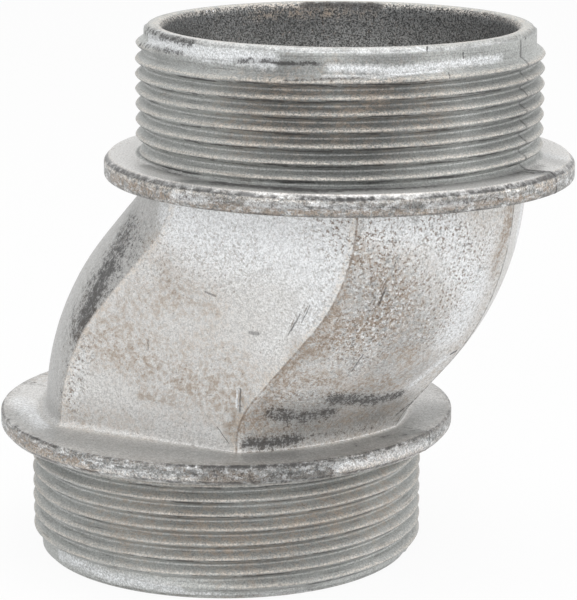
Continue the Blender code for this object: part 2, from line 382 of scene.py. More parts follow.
def buildCasting():
    ends = []
    for axisX, upper in ((halfOffset, True), (-halfOffset, False)):
        place = (lambda depth: length - depth) if upper else (lambda depth: depth)
        rim = [addRing(ring, axisX, place, "rim") for ring in rimRings()]
        flange = [addRing(ring, axisX, place, "flange") for ring in flangeRings()]
        fillet = filletRadii(upper)
        outline = bodyLevel(place(bodyFace), bodyRadius, flatHalf, fillet)
        rimOfFace = ringLevel(axisX, flangeRings()[-1][0], place(bodyFace))
        for share in (0.3, 0.6, 0.85):
            flange.append(addPoints(rimOfFace + (outline - rimOfFace) * share, "flange"))
        foot = []
        for angle in arcSteps(3):
            grow = fillet * (1.0 - math.sin(angle))
            level = bodyLevel(place(bodyFace), bodyRadius, flatHalf, grow)
            rise = fillet * (1.0 - math.cos(angle))
            highest = max(float(rise.max()), 1e-9)
            lifted = bodyLevel(place(bodyFace + highest), bodyRadius, flatHalf, grow)
            level[:, 0] += (lifted[:, 0] - level[:, 0]) * rise / highest
            level[:, 2] = place(bodyFace) + rise * (-1.0 if upper else 1.0)
            shares = dict(bodyShares, brightEdge=casting["footShine"]) if angle == 0 else bodyShares
            foot.append(addPoints(level, "body", **shares))
        ends.append({"axisX": axisX, "rim": rim, "flange": flange + foot})
    upperEnd, lowerEnd = ends

    lowest = bodyFace + casting["bodyFillet"]
    heights = np.linspace(lowest + 0.25, length - lowest - 0.25, casting["bodyLevels"])
    body = [addPoints(bodyLevel(height, bodyRadius, flatHalf), "body", **bodyShares) for height in heights]
    outside = lowerEnd["flange"] + body + upperEnd["flange"][::-1]
    joinRings(outside)
    joinRings(lowerEnd["rim"])
    joinRings(upperEnd["rim"], downward=True)

    innerRadius = bodyRadius - casting["bodyWall"]
    innerFlat = flatHalf - casting["bodyWall"]
    changeEnd = casting["endLength"] + casting["flangeThickness"] / 3
    depths = list(np.linspace(casting["mouthRounding"] + 2.5, changeEnd - 0.6, 6))
    depths += list(np.linspace(changeEnd, bodyFace, 4))
    inside = [lowerEnd["rim"][0]]

    def passageLevel(depth, height):
        change = ease((depth - changeEnd) / (bodyFace - changeEnd))
        radius = casting["boreRadius"] + (innerRadius - casting["boreRadius"]) * change
        if change <= 0.0:
            return ringLevel(halfOffset if height > length / 2 else -halfOffset, radius, height)
        halfAcross = casting["boreRadius"] + (innerFlat - casting["boreRadius"]) * change
        return bodyLevel(height, radius, min(halfAcross, radius * 0.9999), draft=casting["draft"] * change)

    def addPassage(depth, height):
        deep = (min(height, length - height) - casting["darkFrom"]) / casting["darkOver"]
        deep = min(max(deep, 0.0), 1.0)
        inside.append(addPoints(passageLevel(depth, height), "bore", inside=1.0, deep=deep))

    for depth in depths:
        addPassage(depth, depth)
    for height in np.linspace(bodyFace, length - bodyFace, casting["passageLevels"])[1:-1]:
        addPassage(bodyFace, height)
    for depth in depths[::-1]:
        addPassage(depth, length - depth)
    inside.append(upperEnd["rim"][0])
    joinRings(inside, downward=True)

    tip = casting["tipRounding"]
    seat = casting["endLength"]
    lowerGaps, upperGaps = thread["lowerGaps"], thread["upperGaps"]
    threadSheet(-halfOffset, thread["lowerStart"], lowerGaps[0], seat - lowerGaps[1],
                lowerEnd["rim"][-1], tip, lowerEnd["flange"][0], seat, lambda height: height)
    threadSheet(halfOffset, thread["upperStart"], length - seat + upperGaps[1], length - upperGaps[0],
                upperEnd["flange"][0], length - seat, upperEnd["rim"][-1], length - tip,
                lambda height: length - height)


def cameraFrame():
    azimuth = math.radians(photo["azimuth"])
    elevation = math.radians(photo["elevation"])
    roll = math.radians(photo["roll"])
    right = Vector((math.cos(azimuth), math.sin(azimuth), 0.0))
    level = math.cos(elevation)
    back = Vector((math.sin(azimuth) * level, -math.cos(azimuth) * level, math.sin(elevation)))
    up = back.cross(right)
    aim = right * photo["aimRight"] + Vector((0.0, 0.0, photo["aimUp"]))
    turnedRight = right * math.cos(roll) + up * math.sin(roll)
    turnedUp = up * math.cos(roll) - right * math.sin(roll)
    return turnedRight, turnedUp, back, aim + back * photo["distance"]


def addCamera():
    right, up, back, place = cameraFrame()
    lens = bpy.data.cameras.new("studioCamera")
    lens.sensor_fit = "HORIZONTAL"
    lens.sensor_width = 36.0
    lens.lens = photo["focalPixels"] * lens.sensor_width / photo["width"]
    lens.clip_start = 0.01
    camera = bpy.data.objects.new("studioCamera", lens)
    matrix = Matrix((right, up, back)).transposed().to_4x4()
    matrix.translation = place * mm
    camera.matrix_world = matrix
    bpy.context.scene.collection.objects.link(camera)
    bpy.context.scene.camera = camera


addCamera()
buildCasting()
print("casting skin:", len(points), "points and", len(faces), "faces")

shape = np.array(points)
triangles = [(face[0], face[index], face[index + 1]) for face in faces for index in range(1, len(face) - 1)]
skinTree = BVHTree.FromPolygons([Vector(point) for point in points], triangles)
zone = np.array(marks["zone"])
smooth = {name: np.array(values, dtype=float) for name, values in marks.items() if name != "zone"}
pathStep = 3  # pixels of the picture between two points of a painted line


def seenAt(x, y):  # the point of the casting that a place in the picture shows
    right, up, back, place = cameraFrame()
    across = (x - photo["width"] / 2) / photo["focalPixels"]
    rise = (photo["height"] / 2 - y) / photo["focalPixels"]
    return skinTree.ray_cast(place, (right * across + up * rise - back).normalized())[0]


def distanceFrom(spot, stretch=1.0):  # to every point of the skin
    return np.linalg.norm((shape - np.array(spot)) * stretch, axis=1)


def distanceTo(path):  # from every point of the skin to a line drawn over the picture
    nearest = np.full(len(shape), 1e9)
    for first, second in zip(path, path[1:] or path):
        steps = max(int(math.dist(first, second) / pathStep), 1)
        for step in range(steps + 1):
            x = first[0] + (second[0] - first[0]) * step / steps
            y = first[1] + (second[1] - first[1]) * step / steps
            spot = seenAt(x, y)
            if spot is not None:
                nearest = np.minimum(nearest, distanceFrom(spot))
    return nearest


def softSpot(distance, radius):
    return ease(1.0 - distance / radius)


# Stains, bare patches, painted shade and painted highlights by kind and by the surface
# that they lie on: where each runs in the picture, its reach in millimetres and its strength
stains = [
    ("soot", "side",
     ([(122, 242), (106, 272), (93, 300), (81, 328)], 11.0, 0.75),
     ([(108, 268), (96, 292), (84, 318)], 6.0, 0.95), ([(80, 333), (73, 362), (68, 392)], 4.0, 0.45),
     ([(128, 225), (142, 240), (124, 262)], 7.0, 0.5)),
    ("soot", "body",
     ([(334, 399), (352, 399), (372, 401), (398, 395)], 3.0, 0.9),
     ([(272, 414), (300, 417), (330, 412)], 3.0, 0.85), ([(247, 444), (268, 443), (296, 440)], 2.2, 1.0),
     ([(290, 440), (330, 434), (370, 428)], 1.2, 0.6), ([(265, 432), (300, 428)], 1.6, 0.4),
     ([(360, 397), (402, 391)], 0.9, 0.6), ([(396, 415), (412, 402)], 1.1, 0.7)),
    ("soot", "rim",
     ([(148, 29), (166, 37), (192, 43)], 1.5, 0.9), ([(305, 4), (340, 3.5), (378, 5.5)], 1.5, 1.0),
     ([(430, 42), (480, 39), (520, 34)], 0.35, 0.8), ([(531, 26), (526, 36), (524, 46)], 0.6, 0.8),
     ([(294, 47), (330, 47.5), (372, 47)], 0.5, 0.85), ([(180, 9), (202, 6)], 0.8, 0.8),
     ([(484, 13), (508, 21)], 0.7, 0.8), ([(495, 40), (522, 35)], 0.5, 0.8)),
    # partly painted shade on the upper flange's face in front of the neck
    ("soot", "flange",
     ([(142, 158), (165, 170), (200, 179)], 1.2, 0.9), ([(240, 184), (320, 190), (420, 184)], 1.8, 0.55),
     ([(500, 187), (530, 182), (558, 175)], 0.45, 0.9), ([(264, 480), (290, 484), (321, 480)], 1.0, 0.8),
     ([(401, 421), (415, 424), (430, 430)], 0.35, 1.0), ([(440, 182), (490, 172), (540, 166)], 3.0, 0.6),
     ([(200, 474), (262, 480), (330, 472)], 2.6, 0.7), ([(220, 183), (320, 191), (430, 184)], 3.6, 0.95),
     ([(180, 196), (260, 206), (400, 207), (500, 197)], 1.6, 0.62),
     ([(300, 198), (340, 200), (378, 199)], 0.8, 1.0), ([(255, 197), (300, 198)], 0.5, 0.6),
     ([(378, 199), (470, 195), (540, 183)], 0.5, 0.75), ([(107, 162), (122, 171), (147, 180)], 0.5, 1.0),
     ([(170, 465), (215, 467), (262, 467), (310, 464)], 0.65, 1.0),
     ([(310, 464), (360, 457), (432, 435)], 0.45, 0.85), ([(4, 414), (20, 431), (56, 447)], 0.45, 1.0),
     ([(56, 447), (110, 458), (170, 465)], 0.35, 0.6), ([(352, 445), (376, 442)], 0.8, 0.6)),
    # painted shade on the flanges' front faces
    ("soot", "flangeFront",
     ([(380, 438), (410, 432), (426, 430)], 2.2, 0.55), ([(527, 170), (551, 172), (556, 179)], 0.8, 1.0),
     ([(500, 174), (545, 172)], 3.0, 0.6)),
    # includes painted shade along the crests' undersides
    ("soot", "thread",
     ([(147, 31), (165, 37), (192, 43)], 1.5, 1.0), ([(140, 44), (158, 49), (182, 54)], 1.1, 0.8),
     ([(279, 63.5), (318, 63)], 0.75, 1.0), ([(284, 80), (330, 79.5), (366, 79)], 0.6, 1.0),
     ([(280, 48.5), (330, 50), (380, 50.5)], 0.5, 0.85), ([(526, 38), (524, 52)], 0.5, 0.8),
     ([(236, 60), (272, 61)], 0.9, 0.85), ([(300, 506), (360, 500)], 0.5, 0.7),
     ([(395, 569), (418, 556)], 0.8, 0.5)),
    # painted shade in the bore
    ("soot", "bore",
     ([(163, 24), (178, 16), (200, 11)], 5.0, 0.45), ([(250, 7), (305, 6), (340, 6), (380, 8)], 1.6, 0.75)),
    ("dull", "body",
     ([(258, 434), (330, 424), (400, 404)], 3.4, 0.5), ([(374, 305), (414, 335), (380, 362)], 10.0, 0.5),
     ([(250, 420), (340, 400), (420, 370)], 5.0, 0.45),
     ([(362, 222), (355, 258), (340, 300), (318, 332), (285, 368), (264, 400), (252, 440)], 0.55, 0.75),
     ([(330, 425), (385, 415)], 2.2, 0.6)),
    # partly painted shade on the flanges' faces in front of the neck and the body
    ("dull", "flange",
     ([(190, 181), (300, 190), (400, 187), (470, 176)], 3.6, 1.0),
     ([(130, 190), (250, 208), (400, 208), (530, 195)], 1.6, 0.75),
     ([(180, 474), (250, 480), (330, 472)], 2.6, 1.0), ([(110, 461), (175, 468)], 0.9, 0.9),
     ([(112, 180), (160, 198), (230, 210), (300, 215), (420, 214), (540, 198)], 0.8, 1.0),
     ([(530, 150), (565, 165)], 3.0, 0.4),
     ([(20, 415), (50, 435), (120, 447), (240, 458), (340, 450), (440, 410)], 8.0, 0.6),
     ([(20, 420), (80, 440)], 4.0, 0.45), ([(470, 176), (515, 165)], 2.4, 0.8),
     ([(150, 166), (190, 178)], 2.2, 0.7), ([(300, 456), (380, 444), (400, 436)], 2.0, 0.45),
     ([(60, 446), (150, 452), (230, 458)], 2.0, 0.35), ([(210, 478), (262, 480)], 2.2, 0.7)),
    # painted shade on the flanges' front faces
    ("dull", "flangeFront",
     ([(384, 438), (425, 431)], 3.0, 0.8), ([(430, 180), (480, 175), (520, 171), (546, 173)], 4.0, 1.0)),
    ("dull", "thread",
     ([(160, 60), (190, 66), (250, 75)], 3.0, 0.4), ([(480, 70), (530, 100), (500, 130)], 9.0, 0.55),
     ([(280, 90), (300, 130), (360, 150), (380, 90)], 13.0, 0.95),
     ([(200, 520), (260, 560), (330, 520)], 12.0, 0.5),
     ([(250, 80), (300, 120), (330, 160), (420, 120), (300, 80)], 9.0, 0.6),
     ([(260, 520), (200, 540), (300, 560)], 8.0, 0.3)),
    # includes painted shade on the -X side
    ("dull", "side",
     ([(303, 352), (332, 343)], 5.0, 0.35), ([(130, 215), (100, 280), (80, 330)], 7.0, 0.6)),
    ("rust", "body",
     ([(258, 434), (330, 424), (400, 404)], 3.4, 0.45), ([(300, 380), (390, 385)], 6.0, 0.6),
     ([(168, 262), (176, 290)], 6.0, 0.55), ([(150, 245), (190, 250)], 3.4, 0.45),
     ([(95, 330), (170, 380), (240, 400)], 11.0, 0.48), ([(70, 415), (140, 420), (215, 425)], 5.0, 0.38),
     ([(232, 430), (244, 420)], 3.0, 0.85), ([(140, 396), (178, 404)], 1.6, 0.6),
     ([(360, 250), (400, 300), (370, 350)], 10.0, 0.52), ([(304, 352), (345, 330), (372, 322)], 4.5, 0.8),
     ([(275, 400), (262, 425)], 4.0, 0.6), ([(440, 230), (470, 270), (450, 320)], 7.5, 0.5),
     ([(511, 207), (504, 240), (492, 275)], 2.2, 0.85), ([(400, 350), (420, 360)], 6.0, 0.55),
     ([(330, 410), (390, 408)], 3.0, 0.45)),
    ("rust", "thread",
     ([(240, 120), (330, 100), (420, 110)], 14.0, 0.35), ([(120, 520), (260, 540), (380, 500)], 14.0, 0.4),
     ([(120, 95), (540, 95)], 1.0, 0.2)),
    ("rust", "side",
     ([(350, 240), (330, 310), (290, 360), (258, 420)], 5.0, 0.7)),
    ("rust", "flat",
     ([(120, 320), (170, 370), (230, 380)], 14.0, 0.4), ([(160, 250), (200, 300), (120, 300)], 9.0, 0.4)),
    ("rust", "flange",
     ([(112, 178), (160, 196), (230, 208), (300, 213)], 1.5, 0.85),
     ([(300, 213), (420, 212), (540, 196)], 0.9, 0.8), ([(540, 188), (556, 182)], 1.6, 0.6),
     ([(8, 432), (40, 452), (90, 468)], 1.8, 0.75), ([(210, 478), (262, 480)], 1.8, 0.8),
     ([(330, 474), (430, 448)], 1.8, 0.7)),
    ("rust", "rim",
     ([(60, 560), (150, 590), (230, 598), (330, 592), (405, 568)], 2.4, 0.35)),
    ("bloom", "flange",
     ([(335, 468), (372, 462), (430, 444)], 1.8, 0.7), ([(392, 423), (396, 425)], 0.8, 1.0),
     ([(172, 196), (205, 201)], 1.1, 0.9), ([(245, 204), (300, 206)], 1.0, 0.7),
     ([(330, 207), (350, 208)], 1.0, 0.6), ([(430, 206), (470, 203)], 1.0, 0.7),
     ([(98, 468), (176, 480)], 0.9, 0.65), ([(18, 400), (45, 425)], 4.0, 0.7),
     ([(520, 150), (560, 158)], 4.0, 0.55)),
    # painted highlight on the flat's top
    ("bloom", "flat",
     ([(290, 225), (345, 240), (330, 290), (312, 320)], 8.0, 0.75),
     ([(190, 218), (290, 235), (335, 262)], 14.0, 1.0), ([(110, 412), (200, 424)], 6.0, 0.35)),
    # painted reflection on the +X side's strip by the parting line
    ("bloom", "side",
     ([(385, 222), (440, 228), (475, 285), (455, 330)], 7.0, 0.95)),
    # includes a painted highlight along a crest
    ("bloom", "thread",
     ([(322, 76.5), (380, 76.5), (440, 71)], 0.6, 1.0), ([(150, 38), (200, 52), (270, 60)], 2.4, 0.95),
     ([(330, 68), (400, 70), (500, 58)], 1.2, 0.9), ([(60, 555), (110, 577), (180, 590)], 1.8, 0.75),
     ([(180, 592), (240, 597), (330, 590), (402, 567)], 1.2, 0.5)),
    ("bloom", "body",
     ([(165, 212), (330, 216)], 5.0, 0.8), ([(270, 300), (285, 325), (265, 350)], 5.0, 0.4),
     ([(160, 425), (215, 432)], 4.0, 0.5), ([(410, 235), (425, 250)], 5.0, 0.5),
     ([(350, 380), (372, 350)], 3.5, 0.45), ([(412, 385), (446, 357)], 1.8, 0.85),
     ([(522, 208), (514, 262), (490, 318)], 3.4, 1.0), ([(488, 240), (480, 290), (455, 340)], 4.0, 0.6)),
    ("bloom", "rim",
     ([(150, 30), (230, 45), (330, 52), (440, 52), (510, 45)], 2.2, 0.6),
     ([(60, 560), (150, 588), (230, 595), (330, 590)], 1.2, 0.7)),
    ("coarse", "body",
     ([(350, 225), (400, 290), (360, 340)], 12.0, 1.0), ([(430, 225), (475, 250), (430, 330)], 9.0, 0.9),
     ([(280, 395), (330, 400)], 4.0, 0.7), ([(70, 400), (85, 345)], 3.5, 0.8),
     ([(112, 245), (135, 225)], 4.0, 0.6), ([(160, 260), (230, 260)], 8.0, 0.4)),
    ("scratched", "flat",
     ([(150, 290), (200, 260), (260, 250)], 12.0, 0.25)),
    ("scratched", "body",
     ([(292, 330), (308, 305)], 3.2, 1.0), ([(375, 300), (398, 262)], 3.4, 1.0),
     ([(350, 372), (362, 350)], 2.8, 0.8), ([(410, 290), (440, 250)], 5.0, 0.5),
     ([(236, 232), (300, 222)], 4.0, 0.35)),
]

# Single cuts and pits: start and end in the picture, half width in millimetres,
# and how dark (above 0) or bright (below 0) the bottom shows
cuts = [
    ((240.4, 389), (239.6, 411), 0.11, 0.62), ((237.2, 391), (236.6, 407), 0.14, -0.9),
    ((250, 333), (258, 334), 0.22, 0.5), ((310, 305), (302, 322), 0.07, 0.55),
    ((300, 314), (291, 331), 0.08, 0.5), ((295, 322), (288, 335), 0.07, 0.45),
    ((396, 262), (379, 306), 0.09, 0.6), ((386, 288), (378, 305), 0.10, 0.7),
    ((363, 355), (352, 371), 0.10, 0.6), ((217, 427), (229, 444), 0.07, 0.6),
    ((463, 246), (472, 243), 0.14, 0.4), ((451, 354), (456, 351), 0.22, 0.85),
    ((148, 339), (148, 350), 0.06, 0.5), ((205, 292), (215, 296), 0.12, 0.5),
    ((206, 12), (209, 7), 0.10, -0.9), ((213, 11), (216, 6), 0.10, -0.9),
    ((463, 53), (463.5, 58), 0.11, 0.6), ((449, 73), (449.5, 78), 0.10, 0.6),
    ((417, 47), (425, 50), 0.16, -1.0), ((427, 47), (427.5, 51), 0.12, 0.9),
]

# Places where metal is missing: spot in the picture, reach and depth in millimetres
chips = [
    ((558, 173), 0.8, 0.40),
    ((420, 48), 0.7, 0.35),
    ((425, 49.5), 0.6, 0.3),
    ((141, 46), 0.8, 0.2),
]

wear = {
    "shadedGreySide": 0.42,  # painted shade over the whole -X side, as a grey
    "brownSide": 0.3,  # the film on the whole +X side
    "coarseSide": 0.35,
    "behindShare": 0.3,  # how much of those two shows behind the parting line
    "linedGreySide": 0.35,
    "unseenStains": 60,
    "threadDents": 120,
    "dentDepth": 0.16,
    "waviness": 0.05,
    "seamWidth": 0.24,
    "dirtySeamWidth": 0.5,
    "flashWidth": 0.2,
    "seed": 27,
}


def paintStains():
    for name in ("soot", "dull", "rust", "bloom", "coarse", "scratched"):
        smooth[name] = np.zeros(len(shape))
    places = {name: zone == number for name, number in zones.items()}
    places.update(side=smooth["side"], flat=smooth["flat"])
    # the flanges' front halves, which get painted shade for the dark that their faces reflect
    places["flangeFront"] = places["flange"] & (shape[:, 1] < 0.0)
    for name, place, *strokes in stains:
        for path, radius, strength in strokes:
            spot = softSpot(distanceTo(path), radius) * strength * places[place]
            smooth[name] = np.maximum(smooth[name], spot)
    # The -X side gets a grey painted shade and fainter lines at its flats' edges, the +X side is rougher and
    # browner
    onGreySide = shape[:, 0] < (shape[:, 2] / length - 0.5) * offset
    inFront = shape[:, 1] < 0.2
    smooth["lined"] = np.where(onGreySide, wear["linedGreySide"], 1.0)
    shadedGreySide = smooth["side"] * onGreySide
    brownSide = (smooth["side"] - shadedGreySide) * np.where(inFront, 1.0, wear["behindShare"])
    coarse = smooth["coarse"] * np.where((zone != zones["body"]) | inFront, 1.0, wear["behindShare"])
    smooth["dull"] = np.maximum(smooth["dull"], wear["shadedGreySide"] * shadedGreySide)
    smooth["coarse"] = np.maximum(coarse, wear["coarseSide"] * brownSide)
    smooth["rust"] = np.maximum(smooth["rust"], wear["brownSide"] * brownSide)
    # The same kinds of stain on the sides that the picture doesn't show
    random = np.random.default_rng(wear["seed"])
    kinds = ("soot", "rust", "rust", "bloom", "coarse", "scratched")
    back = np.array(cameraFrame()[2])
    outer = np.flatnonzero((zone != zones["bore"]) & ((shape @ back) < -6.0))
    for _ in range(wear["unseenStains"]):
        centre = shape[outer[random.integers(len(outer))]]
        name = kinds[random.integers(len(kinds))]
        stretch = random.uniform(0.3, 1.6, 3)
        distance = distanceFrom(centre, stretch)
        reach = random.uniform(1.5, 3.5) if name == "soot" else random.uniform(5.0, 13.0)
        amount = softSpot(distance, reach) * random.uniform(0.3, 0.65)
        smooth[name] = np.maximum(smooth[name], amount * (zone != zones["bore"]))


def shapeWear():
    random = np.random.default_rng(wear["seed"] + 1)
    onThread, onRim, onFlange = (zone == zones[name] for name in ("thread", "rim", "flange"))
    onBody, onBore = (zone == zones[name] for name in ("body", "bore"))
    endAxis = np.where(shape[:, 2] > length / 2, halfOffset, -halfOffset)
    bodyAxis = (shape[:, 2] / length - 0.5) * offset
    axisX = np.where(onThread | onFlange | onRim, endAxis, bodyAxis)
    outward = np.stack([shape[:, 0] - axisX, shape[:, 1]], axis=1)
    outward /= np.maximum(np.linalg.norm(outward, axis=1), 1e-6)[:, None]
    push = np.zeros(len(shape))
    for index in np.flatnonzero(onBody):  # the slow unevenness of a die that has seen use
        spot = Vector(shape[index])
        push[index] = wear["waviness"] * (noise.noise(spot * 0.13) + 0.35 * noise.noise(spot * 0.55))
    push *= np.clip(np.minimum(shape[:, 2] - bodyFace, length - bodyFace - shape[:, 2]) / 2.0, 0.0, 1.0)
    # The parting line is dirtiest on the upper end's +X side, and clean on the lower thread
    hidden = onBore | onRim | (onThread & (shape[:, 2] < length / 2))
    dirtiest = ~onBody & (shape[:, 0] > 0.0) & (shape[:, 2] > length / 2)
    seamReach = np.where(dirtiest, wear["dirtySeamWidth"], wear["seamWidth"])
    smooth["seam"] = np.where(hidden, 0.0, np.clip(1.0 - np.abs(shape[:, 1]) / seamReach, 0.0, 1.0))
    flash = casting["flashHeight"] * 0.9 * np.exp(-(shape[:, 1] / wear["flashWidth"]) ** 2)
    push += np.where(onBody | onFlange, flash, 0.0)
    # Dents on the crests of the threads and round the flanges' edges
    worn = np.flatnonzero((smooth["crest"] > 0.8) | (onFlange & (smooth["brightEdge"] > 0.5)))
    smooth["bright"] = np.zeros(len(shape))
    for _ in range(wear["threadDents"]):
        centre = shape[worn[random.integers(len(worn))]]
        spread = random.uniform(0.5, 1.3)
        hit = softSpot(distanceFrom(centre, (1.0, 1.0, 1.4)), spread)
        push -= wear["dentDepth"] * random.uniform(0.3, 1.0) * hit
        smooth["bright"] = np.maximum(smooth["bright"], hit * random.uniform(0.2, 0.9))
    for place, reach, depth in chips:
        spot = seenAt(*place)
        if spot is not None:
            push -= depth * softSpot(distanceFrom(spot), reach)
    shape[:, :2] += outward * push[:, None]


paintStains()
seenStains = sum(len(strokes) for name, place, *strokes in stains)
print("stains:", seenStains, "seen and", wear["unseenStains"], "on the other sides")
shapeWear()
print("wear:", wear["threadDents"], "dents")


def addLayer(name, values):  # a painted share that the finish reads from the mesh
    layer = mesh.attributes.new(name, "FLOAT", "POINT")
    layer.data.foreach_set("value", np.clip(values, 0.0, 1.0).astype(np.float32))


mesh = bpy.data.meshes.new("castNipple")
mesh.from_pydata([tuple(point) for point in shape * mm], [], faces)
skin = bmesh.new()
skin.from_mesh(mesh)
bmesh.ops.recalc_face_normals(skin, faces=skin.faces)
skin.to_mesh(mesh)
print("open edges:", sum(1 for edge in skin.edges if len(edge.link_faces) != 2))
skin.free()
for name, values in smooth.items():
    addLayer(name, values)
addLayer("threaded", (zone == zones["thread"]) | (zone == zones["rim"]))
mesh.shade_smooth()
nipple = bpy.data.objects.new("castNipple", mesh)
bpy.context.scene.collection.objects.link(nipple)


def shade(red, green, blue):  # a colour as a screen shows it, from 0 to 255
    return tuple(((value / 255 + 0.055) / 1.055) ** 2.4 for value in (red, green, blue)) + (1.0,)


zincLook = {
    "clean": shade(217, 216, 214),
    "thread": shade(186, 188, 186),
    "inside": shade(186, 186, 184),
    "mouth": shade(114, 115, 115),
    # zinc bloom, also the colour of painted highlights
    "bloom": shade(236, 238, 240),
    "beige": shade(190, 176, 161),
    "brown": shade(124, 107, 92),
    # a dull grey, also the colour of painted shade
    "dull": shade(118, 120, 119),
    # soot, also the colour of painted shade
    "soot": shade(64, 63, 63),
    "crest": shade(214, 206, 196),
    "metallic": 0.55,
    "roughness": 0.42,
    "bumpDepth": 0.00006,
}

coats = {  # how much each coat hides of what lies under it
    "film": 0.8,
    "brownFilm": 0.55,
    "bloom": 0.85,
    "smear": 0.6,
    "paleFleck": 0.75,
    "brownFleck": 0.8,
    "shadow": 0.5,
    "pit": 0.5,
    "crestWearAndHighlight": 0.75,
    "rootHighlight": 0.15,
    "drawnLine": 0.3,
    "edgeDirt": 0.8,
    "edgeShine": 0.7,
    "dent": 0.7,
    "soot": 0.88,
    "seam": 0.75,
    "hairline": 0.75,
}

unmoved = (0.0, 0.0, 0.0)
even = (1.0, 1.0, 1.0)
grains = {  # each noise's shift and stretch in millimetres, then its scale, detail and roughness
    "fine": (unmoved, even, 3.6, 3.0, 0.6),
    "mottle": (unmoved, even, 1.1, 4.0, 0.65),
    "patches": (unmoved, even, 0.22, 4.0, 0.6),
    "brownFlecks": ((31.0, 7.0, 3.0), even, 2.2, 2.0, 0.7),
    "paleFlecks": ((5.0, 47.0, 11.0), even, 2.1, 2.0, 0.7),
    "smears": (unmoved, (0.55, 0.55, 1.7), 1.0, 4.0, 0.7),
    "drawn": (unmoved, (0.16, 0.16, 4.2), 1.0, 2.0, 0.6),
    "pits": ((13.0, 3.0, 29.0), even, 2.3, 1.0, 0.5),
    "tiny": ((3.0, 19.0, 23.0), even, 6.0, 2.0, 0.6),
    "hairlines": (unmoved, (4.0, 4.0, 0.28), 1.0, 2.0, 0.6),
}
hairlineTurn = -24.0  # degrees
cutShake = 0.22  # how far the cuts waver, in millimetres

finish = bpy.data.materials.new("castZinc")
finish.use_nodes = True
zincTree = finish.node_tree
shader = zincTree.nodes["Principled BSDF"]


def addTo(tree, kind, inputs, output=0, **settings):  # inputs are values, or sockets to link
    made = tree.nodes.new(kind)
    for name, value in settings.items():
        setattr(made, name, value)
    for key, value in inputs.items():
        if isinstance(value, bpy.types.NodeSocket):
            tree.links.new(value, made.inputs[key])
        else:
            made.inputs[key].default_value = value
    return made.outputs[output]


def addNode(kind, inputs, output=0, **settings):
    return addTo(zincTree, kind, inputs, output, **settings)


def calculate(operation, first, second=0.0, clamp=False):
    return addNode("ShaderNodeMath", {0: first, 1: second}, operation=operation, use_clamp=clamp)


def product(first, second):
    return calculate("MULTIPLY", first, second)


def total(first, second):
    return calculate("ADD", first, second)


def mixed(first, firstShare, second, secondShare):
    return total(product(first, firstShare), product(second, secondShare))


def move(operation, first, second, output=0):
    return addNode("ShaderNodeVectorMath", {0: first, 1: second}, output=output, operation=operation)


def scaled(vector, factor):
    return addNode("ShaderNodeVectorMath", {0: vector, 3: factor}, operation="SCALE")


def band(value, low, high, least=0.0, most=1.0):
    inputs = {0: value, 1: low, 2: high, 3: least, 4: most}
    return addNode("ShaderNodeMapRange", inputs, interpolation_type="SMOOTHSTEP")


def grain(name, place):
    shift, stretch, scale, detail, roughness = grains[name]
    if shift != unmoved:
        place = move("ADD", place, shift)
    if stretch != even:
        place = move("MULTIPLY", place, stretch)
    inputs = {"Vector": place, "Scale": scale, "Detail": detail, "Roughness": roughness}
    return addNode("ShaderNodeTexNoise", inputs)


def blend(share, first, second):
    return addNode("ShaderNodeMix", {0: share, 6: first, 7: second}, output=2, data_type="RGBA")


def coat(colour, mask, name, tone):
    return blend(product(mask, coats[name]), colour, zincLook[tone])


def painted(name):
    return addNode("ShaderNodeAttribute", {}, output=2, attribute_name=name)


def stained(name, texture, reach, low, high):  # a painted share with a ragged edge
    ragged = calculate("MULTIPLY_ADD", texture, reach)
    ragged.node.inputs[2].default_value = -reach / 2
    held = product(total(painted(name), ragged), band(painted(name), 0.0, 0.12))
    return band(held, low, high)


def cutMask(place, start, end, halfWidth):
    along = end - start
    reach = along.length
    shaken = addNode("ShaderNodeTexNoise", {"Vector": place, "Scale": 1.6, "Detail": 1.0}, output=1)
    shaken = {0: shaken, 1: (cutShake, cutShake, cutShake), 2: place}
    shaken = addNode("ShaderNodeVectorMath", shaken, operation="MULTIPLY_ADD")
    toPoint = move("SUBTRACT", shaken, tuple(start + Vector((cutShake, cutShake, cutShake)) / 2))
    travelled = move("DOT_PRODUCT", toPoint, tuple(along / reach), output=1)
    inside = calculate("MINIMUM", calculate("MAXIMUM", travelled, 0.0), reach)
    nearest = scaled(tuple(along / reach), inside)
    apart = {0: move("SUBTRACT", toPoint, nearest)}
    apart = addNode("ShaderNodeVectorMath", apart, output=1, operation="LENGTH")
    return band(apart, halfWidth * 0.5, halfWidth * 1.7, 1.0, 0.0)


